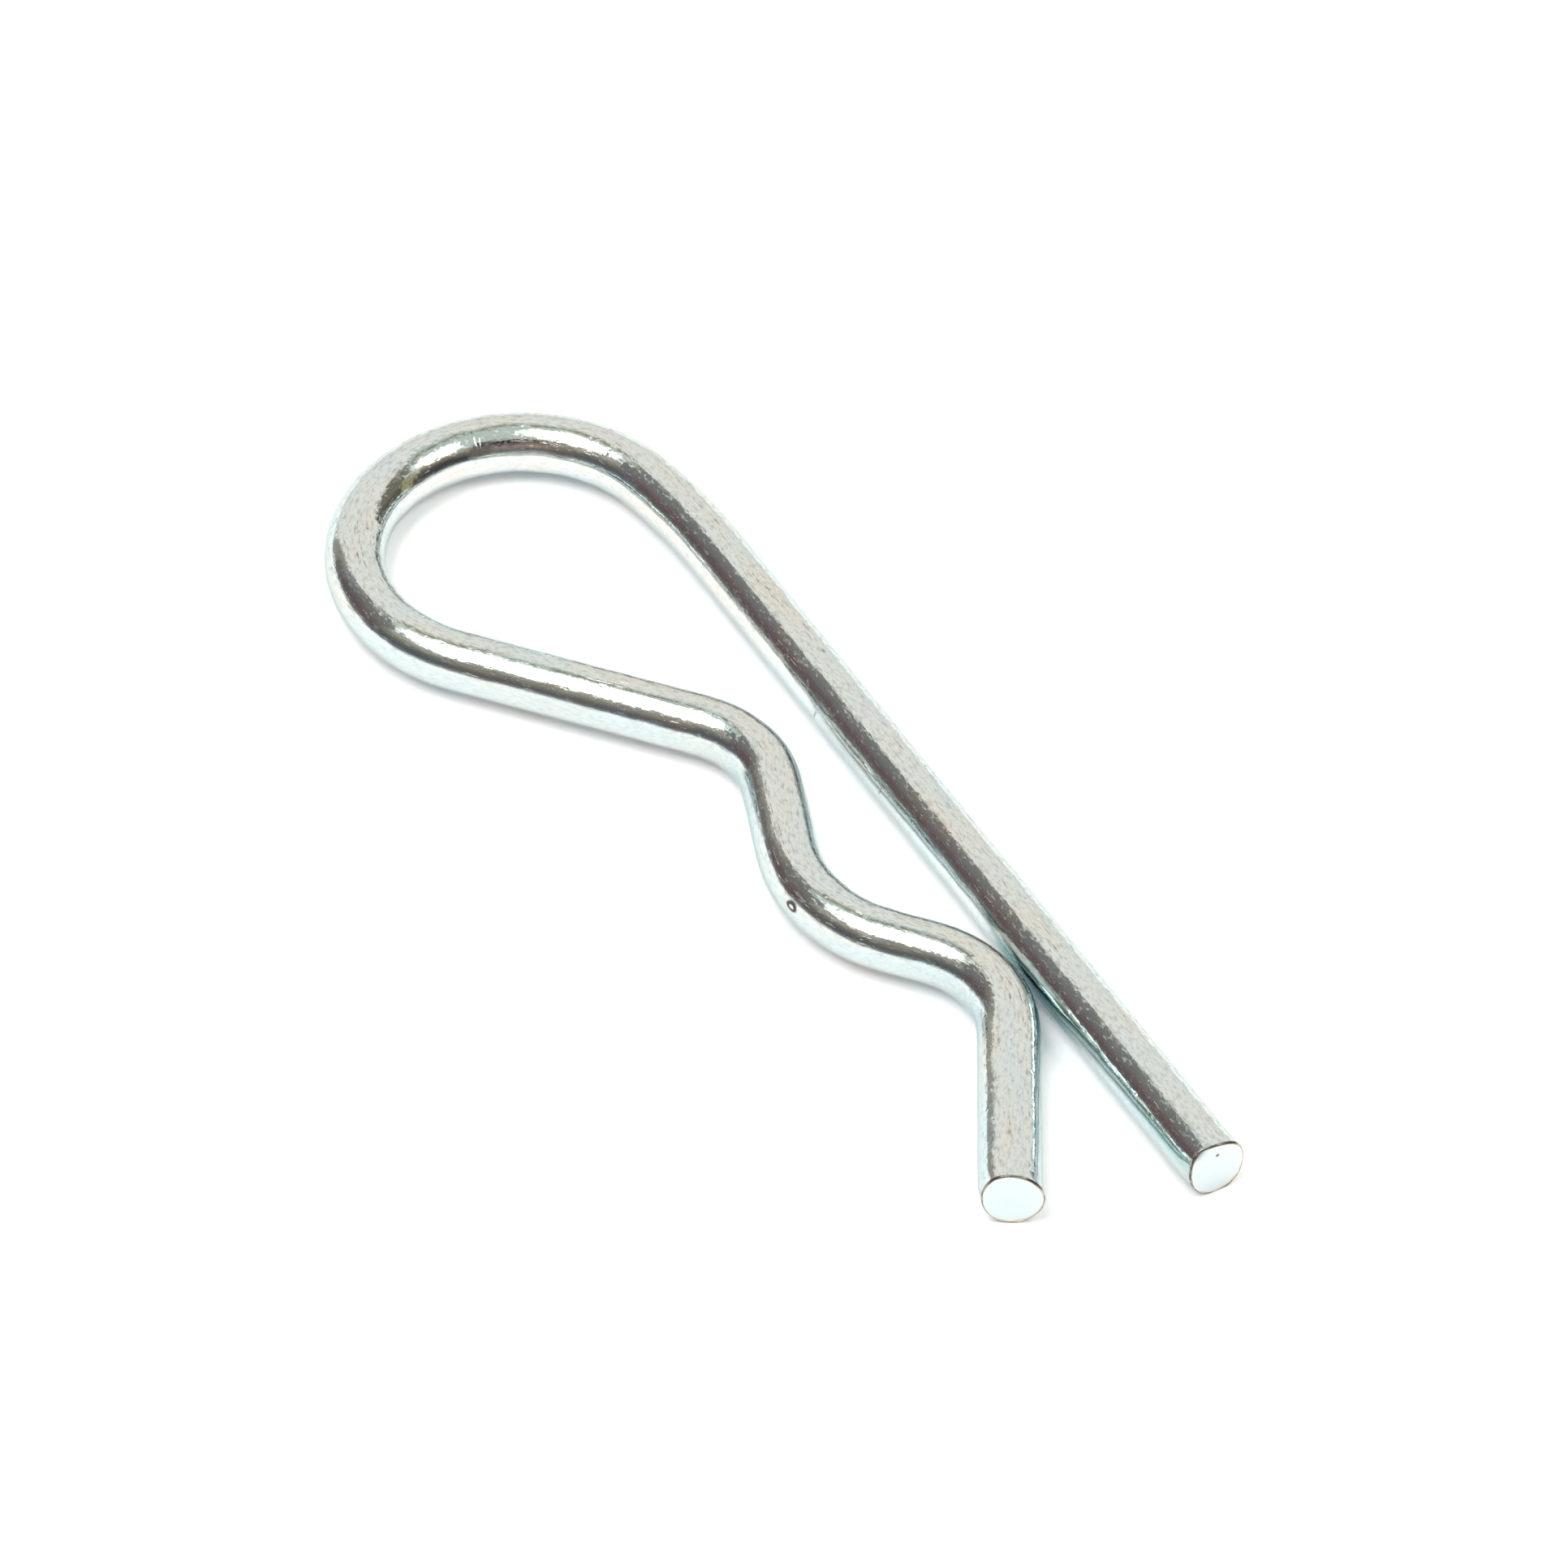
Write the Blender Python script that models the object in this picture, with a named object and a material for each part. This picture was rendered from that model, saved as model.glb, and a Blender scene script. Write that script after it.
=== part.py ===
"""Hairpin cotter pin: one length of round spring-steel wire, bent cold in one plane.

The straight leg goes through the cross hole of a shaft. The bent leg passes round
the outside of the shaft: its seat is an arc about the straight leg's own axis, and
its hump springs shut against the straight leg. The pin lies flat, +Z up, with the
straight leg along X, its tip at +X and the bow at -X. The origin is at the bottom
centre of the bounding box.

Run it with: blender --background --python part.py
"""

import math

import bpy
from mathutils import Vector

# Wire
WIRE_DIAMETER = 0.003

# Straight leg and bow. Every bend has its inside radius, that of the pin it is formed round.
STRAIGHT_LENGTH = 0.0466
SHOULDER_RADIUS = 0.0345
SHOULDER_ANGLE = math.radians(10)
BOW_RADIUS = 0.0065

# Bent leg. Angles are from the direction of the straight leg.
ENTRY_ANGLE = math.radians(40)
KNEE_RADIUS = 0.0038
KNEE_EXIT_ANGLE = math.radians(20)
KNEE_RUN = 0.0045
SEAT_RADIUS = 0.0060
SEAT_RUN = 0.0017
HUMP_RADIUS = 0.0040
HUMP_GAP = 0.00012
FLARE_ANGLE = math.radians(30)
FLARE_LENGTH = 0.0104

# Facets
BEVEL_RESOLUTION = 10
FACET_ANGLE = math.radians(6)

# Bright zinc plate
PLATE_COLOUR = (0.61, 0.62, 0.60, 1.0)
PLATE_ROUGHNESS = 0.28


class Centreline:
    """The flat middle line of the wire, drawn as straight runs and bends in turn.

    Args:
        start: the first point, in the plane of the pin.
        heading: the direction of travel there, anticlockwise from +X.
    """

    def __init__(self, start: Vector, heading: float) -> None:
        self.points = [start]
        self.heading = heading

    def run(self, length: float) -> None:
        """Goes straight on by this length."""
        step = Vector((math.cos(self.heading), math.sin(self.heading)))
        self.points.append(self.points[-1] + length * step)

    def bend(self, inside_radius: float, angle: float) -> None:
        """Turns by this angle, anticlockwise where it is positive, round a forming pin."""
        radius = math.copysign(inside_radius + WIRE_DIAMETER / 2, angle)
        to_centre = Vector((-math.sin(self.heading), math.cos(self.heading))) * radius
        centre = self.points[-1] + to_centre
        steps = max(2, math.ceil(abs(angle) / FACET_ANGLE))
        for step in range(1, steps + 1):
            turned = self.heading + angle * step / steps
            arm = Vector((-math.sin(turned), math.cos(turned))) * radius
            self.points.append(centre - arm)
        self.heading += angle


def seat_exit_angle() -> float:
    """The angle at which the leg leaves the seat, so that the hump just misses the straight leg.

    The seat is an arc about the straight leg's axis and the hump is parallel to that
    axis at its crest. With s and h the middle radii of seat and hump, w the run between
    them and c the distance of the crest from the axis, the angle a obeys
    (s + h) cos a - w sin a = h + c.
    """
    seat = SEAT_RADIUS + WIRE_DIAMETER / 2
    hump = HUMP_RADIUS + WIRE_DIAMETER / 2
    crest = WIRE_DIAMETER + HUMP_GAP
    reach = math.hypot(seat + hump, SEAT_RUN)
    lean = math.atan2(SEAT_RUN, seat + hump)
    return math.acos((hump + crest) / reach) - lean


def entry_run(bow_end: Vector) -> float:
    """The length of the run from the bow to the knee that brings the seat onto its centre.

    Args:
        bow_end: the end of the bow, with the straight leg's axis at Y = 0.
    """
    seat = SEAT_RADIUS + WIRE_DIAMETER / 2
    knee = KNEE_RADIUS + WIRE_DIAMETER / 2
    seat_start = -seat * math.cos(KNEE_EXIT_ANGLE)
    knee_end = seat_start + KNEE_RUN * math.sin(KNEE_EXIT_ANGLE)
    knee_start = knee_end - knee * (math.cos(KNEE_EXIT_ANGLE) - math.cos(ENTRY_ANGLE))
    return (knee_start - bow_end.y) / math.sin(ENTRY_ANGLE)


def wire_centreline() -> list[Vector]:
    """The points of the wire's middle line, from the straight leg's tip to the flared end."""
    exit_angle = seat_exit_angle()
    line = Centreline(Vector((0.0, 0.0)), math.pi)
    line.run(STRAIGHT_LENGTH)
    line.bend(SHOULDER_RADIUS, SHOULDER_ANGLE)
    line.bend(BOW_RADIUS, math.pi - SHOULDER_ANGLE + ENTRY_ANGLE)
    line.run(entry_run(line.points[-1]))
    line.bend(KNEE_RADIUS, -ENTRY_ANGLE - KNEE_EXIT_ANGLE)
    line.run(KNEE_RUN)
    line.bend(SEAT_RADIUS, KNEE_EXIT_ANGLE + exit_angle)
    line.run(SEAT_RUN)
    line.bend(HUMP_RADIUS, -exit_angle - FLARE_ANGLE)
    line.run(FLARE_LENGTH)
    return line.points


def outline_centre(points: list[Vector]) -> Vector:
    """The middle of the box round the wire, seen from above."""
    corners = []
    for index, point in enumerate(points):
        ahead = points[min(index + 1, len(points) - 1)]
        behind = points[max(index - 1, 0)]
        side = (ahead - behind).normalized().orthogonal() * WIRE_DIAMETER / 2
        corners += [point + side, point - side]
    low = Vector(map(min, zip(*corners)))
    high = Vector(map(max, zip(*corners)))
    return (low + high) / 2


def clear_scene() -> None:
    """Removes whatever objects the file opened with."""
    for old in list(bpy.data.objects):
        bpy.data.objects.remove(old, do_unlink=True)


def zinc_plate() -> bpy.types.Material:
    """Bright zinc plate on steel."""
    material = bpy.data.materials.new("zinc_plated_wire")
    material.use_nodes = True
    shader = material.node_tree.nodes["Principled BSDF"]
    shader.inputs["Base Color"].default_value = PLATE_COLOUR
    shader.inputs["Metallic"].default_value = 1.0
    shader.inputs["Roughness"].default_value = PLATE_ROUGHNESS
    return material


def bent_wire(collection: bpy.types.Collection) -> bpy.types.Object:
    """Sweeps the round wire along its middle line, with a flat sheared face at each end."""
    points = wire_centreline()
    centre = outline_centre(points)
    curve = bpy.data.curves.new("bent_wire", "CURVE")
    curve.dimensions = "3D"
    curve.twist_mode = "Z_UP"
    curve.bevel_depth = WIRE_DIAMETER / 2
    curve.bevel_resolution = BEVEL_RESOLUTION
    curve.use_fill_caps = True
    spline = curve.splines.new("POLY")
    spline.points.add(len(points) - 1)
    for target, point in zip(spline.points, points):
        target.co = (point.x, point.y, 0.0, 1.0)
    spline.use_smooth = True
    curve.materials.append(zinc_plate())
    wire = bpy.data.objects.new("bent_wire", curve)
    wire.location = (-centre.x, -centre.y, WIRE_DIAMETER / 2)
    collection.objects.link(wire)
    return wire


def main() -> None:
    """Builds the pin in its own collection."""
    clear_scene()
    collection = bpy.data.collections.new("hairpin_cotter_pin")
    bpy.context.scene.collection.children.link(collection)
    bent_wire(collection)


if __name__ == "__main__":
    main()
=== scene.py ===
"""Hairpin cotter pin: the finely made wire, its studio and its camera.

One length of round spring-steel wire, cold bent, cropped at both ends and then bright
zinc plated. Every length is in metres unless its name or a constant says millimetres.
"""

import logging
import math
from collections.abc import Sequence
from dataclasses import dataclass, field
from enum import Enum

import bpy
import numpy as np
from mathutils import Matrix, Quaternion, Vector

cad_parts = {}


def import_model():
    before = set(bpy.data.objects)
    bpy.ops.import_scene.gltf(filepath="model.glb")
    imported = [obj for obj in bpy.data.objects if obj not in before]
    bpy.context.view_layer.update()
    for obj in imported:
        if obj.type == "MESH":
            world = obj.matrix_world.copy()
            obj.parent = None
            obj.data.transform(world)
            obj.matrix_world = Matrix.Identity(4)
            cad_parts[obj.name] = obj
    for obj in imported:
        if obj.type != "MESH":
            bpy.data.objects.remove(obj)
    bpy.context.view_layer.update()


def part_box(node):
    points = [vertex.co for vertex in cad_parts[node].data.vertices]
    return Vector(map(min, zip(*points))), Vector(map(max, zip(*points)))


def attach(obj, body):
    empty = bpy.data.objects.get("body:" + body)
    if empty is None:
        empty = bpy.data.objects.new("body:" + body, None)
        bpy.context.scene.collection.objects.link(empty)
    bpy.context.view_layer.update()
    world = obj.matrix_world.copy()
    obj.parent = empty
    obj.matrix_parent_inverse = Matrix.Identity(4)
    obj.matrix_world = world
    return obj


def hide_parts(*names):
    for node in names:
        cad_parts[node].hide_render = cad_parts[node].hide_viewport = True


LOG = logging.getLogger("hairpin_cotter_pin")
MM = 0.001
CAD_NODE = "bent_wire"
BODY = "root"

# Attributes of the meshes that the materials read
STRAIGHT_COORDINATES = "drawn_wire"
# Worn marks, and painted shade: the painted dark reflection and shade of the cut rims
WEAR_AND_PAINTED_SHADE = "wear_and_painted_shade"
# Painted teal reflection and painted shade between the legs and on the bent leg's outside
PAINTED_REFLECTION_LAYER = "painted_reflection"
RISE = "rise"

# The elevation straight overhead in degrees, of which a card's rise is a share
ZENITH = 90.0

# The curve from sRGB to linear colour
SRGB_TOE = 0.04045
SRGB_TOE_SLOPE = 12.92
SRGB_OFFSET = 0.055
SRGB_POWER = 2.4

# The shortest and the longest wave of a ripple, as shares of its typical wavelength
WAVE_SPAN = (0.6, 1.8)

# How many easings the bell curve over the bends reaches either way
BELL_REACH = 4

# Half the thickness of a blister's rim, as a share of the blister's radius
BLISTER_RIM = 0.33

# Sockets of a colour Mix node: its factor, its two colours and the mixed colour
FACTOR, FIRST, SECOND, MIXED = 0, 6, 7, 2

# An output of a shader node
Socket = bpy.types.NodeSocket

# Hex colours, each after the elevation in degrees at which it shows
Shades = tuple[tuple[float, str], ...]


def linear(hex_colour: str) -> tuple[float, float, float, float]:
    """Turns an sRGB hex colour into linear red, green, blue and alpha.

    Args:
        hex_colour: six hex digits after a hash sign.

    Returns:
        The linear colour, opaque.
    """
    coded = np.array([int(hex_colour[i : i + 2], 16) for i in (1, 3, 5)]) / 255.0
    curved = ((coded + SRGB_OFFSET) / (1 + SRGB_OFFSET)) ** SRGB_POWER
    straight = np.where(coded <= SRGB_TOE, coded / SRGB_TOE_SLOPE, curved)
    return (*(float(value) for value in straight), 1.0)


def add_node(
    tree: bpy.types.NodeTree,
    kind: str,
    settings: dict[str, object] | None = None,
    inputs: dict[str | int, object] | None = None,
) -> bpy.types.Node:
    """Adds one shader node, sets it up and links it.

    Args:
        tree: the node tree that gets the node.
        kind: the node's Blender type name.
        settings: attributes of the node itself.
        inputs: for each input, by name or number, a constant or an output to link from.

    Returns:
        The new node.
    """
    made = tree.nodes.new(kind)
    for name, value in (settings or {}).items():
        setattr(made, name, value)
    for name, value in (inputs or {}).items():
        if isinstance(value, Socket):
            tree.links.new(value, made.inputs[name])
        else:
            made.inputs[name].default_value = value
    return made


def new_tree(name: str) -> tuple[bpy.types.Material, bpy.types.NodeTree]:
    """Makes a material with an empty node tree.

    Args:
        name: the material's name.

    Returns:
        The material and its tree.
    """
    material = bpy.data.materials.new(name)
    material.use_nodes = True
    material.node_tree.nodes.clear()
    return material, material.node_tree


def grade(ramp: bpy.types.ColorRamp, stops: Sequence[tuple[float, str]]) -> None:
    """Sets the stops of a new colour ramp.

    Args:
        ramp: the ramp, with the two stops that it starts with.
        stops: positions from 0 to 1, from the lowest up, with their sRGB hex colours.
    """
    ramp.elements.remove(ramp.elements[1])
    ramp.elements[0].position = stops[0][0]
    ramp.elements[0].color = linear(stops[0][1])
    for position, shade in stops[1:]:
        ramp.elements.new(position).color = linear(shade)


def background_rays(tree: bpy.types.NodeTree) -> tuple[Socket, Socket]:
    """The rays that show a background.

    Args:
        tree: the node tree of the table or the world.

    Returns:
        Whether a ray comes from the camera, and whether from a mirror or glass.
    """
    rays = add_node(tree, "ShaderNodeLightPath")
    mirrored = add_node(
        tree,
        "ShaderNodeMath",
        {"operation": "MAXIMUM"},
        {0: rays.outputs["Is Glossy Ray"], 1: rays.outputs["Is Transmission Ray"]},
    )
    return rays.outputs["Is Camera Ray"], mirrored.outputs[0]


def placed(name: str, data: bpy.types.ID) -> bpy.types.Object:
    """Puts a mesh, a lamp or a camera in the scene.

    Args:
        name: the object's name.
        data: what the object shows.

    Returns:
        The new object.
    """
    made = bpy.data.objects.new(name, data)
    bpy.context.scene.collection.objects.link(made)
    return made


def ripple(
    along: np.ndarray,
    around: np.ndarray,
    wavelength: float,
    most_lobes: int,
    count: int,
    seed: int,
) -> np.ndarray:
    """A smooth random field on the wire that closes on itself round the section.

    It is the mean of cosines of (2 pi s / L + m a + p), with s the place along the wire,
    a the angle round it, m a whole number of lobes and L and p drawn at random.

    Args:
        along: places along the wire, as a column.
        around: angles round the section, as a row.
        wavelength: the typical length of a wave along the wire.
        most_lobes: the largest number of waves round the section.
        count: how many cosines are added.
        seed: picks the draw.

    Returns:
        The field, about 1 at its highest.
    """
    draw = np.random.default_rng(seed)
    lengths = wavelength * draw.uniform(*WAVE_SPAN, count)
    lobes = draw.integers(-most_lobes, most_lobes + 1, count)
    phases = draw.uniform(0, 2 * math.pi, count)
    waves = np.cos(
        2 * math.pi * along[..., None] / lengths + lobes * around[..., None] + phases
    )
    return waves.sum(axis=-1) / math.sqrt(count)


class Hand(Enum):
    """The way a bend turns, seen from above."""

    LEFT = 1.0
    RIGHT = -1.0


@dataclass(frozen=True)
class Stretch:
    """A straight run, or a bend of even radius, of the wire's middle line."""

    length: float
    curvature: float = 0.0

    @classmethod
    def bend(cls, middle_radius: float, angle: float, hand: Hand) -> "Stretch":
        """A bend of this middle radius through this angle."""
        return cls(middle_radius * angle, hand.value / middle_radius)


@dataclass(frozen=True)
class PathPoints:
    """Places on the middle line: how far along, where, and which way the wire runs."""

    along: np.ndarray
    centre: np.ndarray
    heading: np.ndarray

    @property
    def left(self) -> np.ndarray:
        """The unit vectors to the left of the wire's run, in its plane."""
        return np.stack([-np.sin(self.heading), np.cos(self.heading)], axis=-1)


@dataclass(frozen=True)
class WirePath:
    """The flat middle line, with the same named sizes as the solid it is drawn over."""

    wire: float = 3.0 * MM
    straight_length: float = 46.6 * MM
    shoulder_radius: float = 34.5 * MM
    shoulder_angle: float = math.radians(10)
    bow_radius: float = 6.5 * MM
    entry_angle: float = math.radians(40)
    knee_radius: float = 3.8 * MM
    knee_exit_angle: float = math.radians(20)
    knee_run: float = 4.5 * MM
    seat_radius: float = 6.0 * MM
    seat_run: float = 1.7 * MM
    hump_radius: float = 4.0 * MM
    hump_gap: float = 0.12 * MM
    flare_angle: float = math.radians(30)
    flare_length: float = 10.4 * MM
    easing: float = 0.5 * MM
    step: float = 0.02 * MM

    def middle(self, inside_radius: float) -> float:
        """The radius of the middle line of a bend of this inside radius."""
        return inside_radius + self.wire / 2

    def seat_exit_angle(self) -> float:
        """The angle a of the run off the seat, so that the hump just misses the straight leg.

        With s and h the middle radii of seat and hump, w the run between them and c the
        distance of the hump's crest from the straight leg's axis, it obeys
        (s + h) cos a - w sin a = h + c.

        Returns:
            The angle from the straight leg's direction, in radians.
        """
        seat, hump = self.middle(self.seat_radius), self.middle(self.hump_radius)
        crest = self.wire + self.hump_gap
        lean = math.atan2(self.seat_run, seat + hump)
        return math.acos((hump + crest) / math.hypot(seat + hump, self.seat_run)) - lean

    def entry_run(self) -> float:
        """The length of the run that brings the seat's centre onto the straight leg's axis.

        It is how far the wire still has to climb between bow and knee, over the sine of
        the entry angle.

        Returns:
            The length from the bow's end to the knee's start.
        """
        shoulder, bow = self.middle(self.shoulder_radius), self.middle(self.bow_radius)
        seat, knee = self.middle(self.seat_radius), self.middle(self.knee_radius)
        shoulder_drop = -shoulder * (1 - math.cos(self.shoulder_angle))
        bow_drop = -bow * (math.cos(self.shoulder_angle) + math.cos(self.entry_angle))
        knee_end = -seat * math.cos(self.knee_exit_angle)
        knee_end += self.knee_run * math.sin(self.knee_exit_angle)
        knee_rise = knee * (math.cos(self.knee_exit_angle) - math.cos(self.entry_angle))
        return (knee_end - knee_rise - shoulder_drop - bow_drop) / math.sin(self.entry_angle)

    def stretches(self) -> list[Stretch]:
        """The runs and bends in order.

        Returns:
            The stretches, from the straight leg's tip to the flared end.
        """
        leave = self.seat_exit_angle()
        bow_sweep = math.pi - self.shoulder_angle + self.entry_angle
        return [
            Stretch(self.straight_length),
            Stretch.bend(self.middle(self.shoulder_radius), self.shoulder_angle, Hand.LEFT),
            Stretch.bend(self.middle(self.bow_radius), bow_sweep, Hand.LEFT),
            Stretch(self.entry_run()),
            Stretch.bend(
                self.middle(self.knee_radius),
                self.entry_angle + self.knee_exit_angle,
                Hand.RIGHT,
            ),
            Stretch(self.knee_run),
            Stretch.bend(
                self.middle(self.seat_radius), self.knee_exit_angle + leave, Hand.LEFT
            ),
            Stretch(self.seat_run),
            Stretch.bend(
                self.middle(self.hump_radius), leave + self.flare_angle, Hand.RIGHT
            ),
            Stretch(self.flare_length),
        ]

    def length(self) -> float:
        """The length of the whole middle line."""
        return sum(stretch.length for stretch in self.stretches())

    def traced(self, eased: bool) -> PathPoints:
        """Walks the middle line in small even steps.

        The heading is the running sum of the curvature times the step, and the place is
        the running sum of the step along the heading at its middle. Easing spreads each
        change of curvature with a bell curve, as real wire does on either side of a bend.

        Args:
            eased: whether the changes of curvature are spread.

        Returns:
            The points, from the straight leg's tip.
        """
        stretches = self.stretches()
        ends = np.cumsum([stretch.length for stretch in stretches])
        count = int(round(ends[-1] / self.step))
        step = ends[-1] / count
        middles = (np.arange(count) + 0.5) * step
        index = np.minimum(np.searchsorted(ends, middles), len(stretches) - 1)
        curvature = np.array([stretch.curvature for stretch in stretches])[index]
        if eased:
            reach = int(BELL_REACH * self.easing / step)
            offsets = np.arange(-reach, reach + 1) * step / self.easing
            bell = np.exp(-(offsets**2) / 2)
            padded = np.pad(curvature, reach, mode="edge")
            curvature = np.convolve(padded, bell / bell.sum(), mode="valid")
        turned = np.concatenate([[0.0], np.cumsum(curvature * step)])
        heading = math.pi + turned
        middle_heading = (heading[:-1] + heading[1:]) / 2
        moves = np.stack([np.cos(middle_heading), np.sin(middle_heading)], axis=-1) * step
        centre = np.concatenate([np.zeros((1, 2)), np.cumsum(moves, axis=0)])
        return PathPoints(np.arange(count + 1) * step, centre, heading)

    def box_centre(self) -> np.ndarray:
        """The middle of the box round the plain wire, seen from above.

        Returns:
            Its place in the plane of the wire.
        """
        plain = self.traced(eased=False)
        side = plain.left * self.wire / 2
        edges = np.concatenate([plain.centre + side, plain.centre - side])
        return (edges.min(axis=0) + edges.max(axis=0)) / 2

    def at(self, along: np.ndarray, shift: np.ndarray) -> PathPoints:
        """The eased middle line at these places, moved by a shift.

        Args:
            along: distances from the straight leg's tip.
            shift: how far the line is moved in its plane.

        Returns:
            The points.
        """
        fine = self.traced(eased=True)
        centre = np.stack(
            [np.interp(along, fine.along, fine.centre[:, axis]) for axis in (0, 1)], axis=-1
        )
        return PathPoints(along, centre + shift, np.interp(along, fine.along, fine.heading))


def cell_scale(length: float, width: float) -> tuple[float, float, float]:
    """The scale that lays out cells this many millimetres long and wide on the wire."""
    return (1 / (length * MM), 1 / (width * MM), 1 / (width * MM))


@dataclass(frozen=True)
class Clouds:
    """Cloudy noise in cells of this length along the wire and width round it, in millimetres."""

    length: float
    width: float
    detail: float
    roughness: float = 0.55

    def drawn(self, tree: bpy.types.NodeTree, place: Socket) -> Socket:
        """Draws the noise on the wire.

        Args:
            tree: the node tree of the finish.
            place: the wire's own coordinates.

        Returns:
            The noise, from 0 to 1 and mostly near a half.
        """
        scale = cell_scale(self.length, self.width)
        cells = add_node(tree, "ShaderNodeMapping", None, {"Vector": place, "Scale": scale})
        made = add_node(
            tree,
            "ShaderNodeTexNoise",
            None,
            {
                "Vector": cells.outputs["Vector"],
                "Scale": 1.0,
                "Detail": self.detail,
                "Roughness": self.roughness,
            },
        )
        return made.outputs["Fac"]


@dataclass(frozen=True)
class Spots:
    """Round spots in a share of the cells, their reach as a share of a cell."""

    length: float
    width: float
    reach: float
    share: float

    def drawn(self, tree: bpy.types.NodeTree, place: Socket) -> Socket:
        """Draws the spots on the wire.

        Args:
            tree: the node tree of the finish.
            place: the wire's own coordinates.

        Returns:
            The spots, 1 at their middles and 0 past their reach.
        """
        scale = cell_scale(self.length, self.width)
        laid = add_node(tree, "ShaderNodeMapping", None, {"Vector": place, "Scale": scale})
        cells = add_node(
            tree,
            "ShaderNodeTexVoronoi",
            {"feature": "F1"},
            {"Vector": laid.outputs["Vector"], "Scale": 1.0},
        )
        spot = add_node(
            tree,
            "ShaderNodeMapRange",
            {"interpolation_type": "SMOOTHSTEP"},
            {
                "Value": cells.outputs["Distance"],
                "From Min": 0.0,
                "From Max": self.reach,
                "To Min": 1.0,
                "To Max": 0.0,
            },
        )
        draw = add_node(
            tree, "ShaderNodeSeparateColor", None, {"Color": cells.outputs["Color"]}
        )
        chosen = add_node(
            tree,
            "ShaderNodeMath",
            {"operation": "LESS_THAN"},
            {0: draw.outputs["Red"], 1: self.share},
        )
        kept = add_node(
            tree,
            "ShaderNodeMath",
            {"operation": "MULTIPLY"},
            {0: spot.outputs["Result"], 1: chosen.outputs[0]},
        )
        return kept.outputs[0]


@dataclass(frozen=True)
class PlatePattern:
    """What the relief, the colour and the gloss of the plate share, as outputs of nodes.

    The place is the wire's own coordinates. The rest run from 0 to 1: the darkening of
    the marks together with the painted shade of the cut rims, the painted teal reflection
    and shade between the legs, how much grain is left, the clouds of the chromate, the
    grain, the pits drawn out in streaks, and the dull specks.
    """

    place: Socket
    wear_and_painted_shade: Socket
    painted_reflection: Socket
    grained: Socket
    cloud: Socket
    grain: Socket
    streaks: Socket
    specks: Socket


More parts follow.
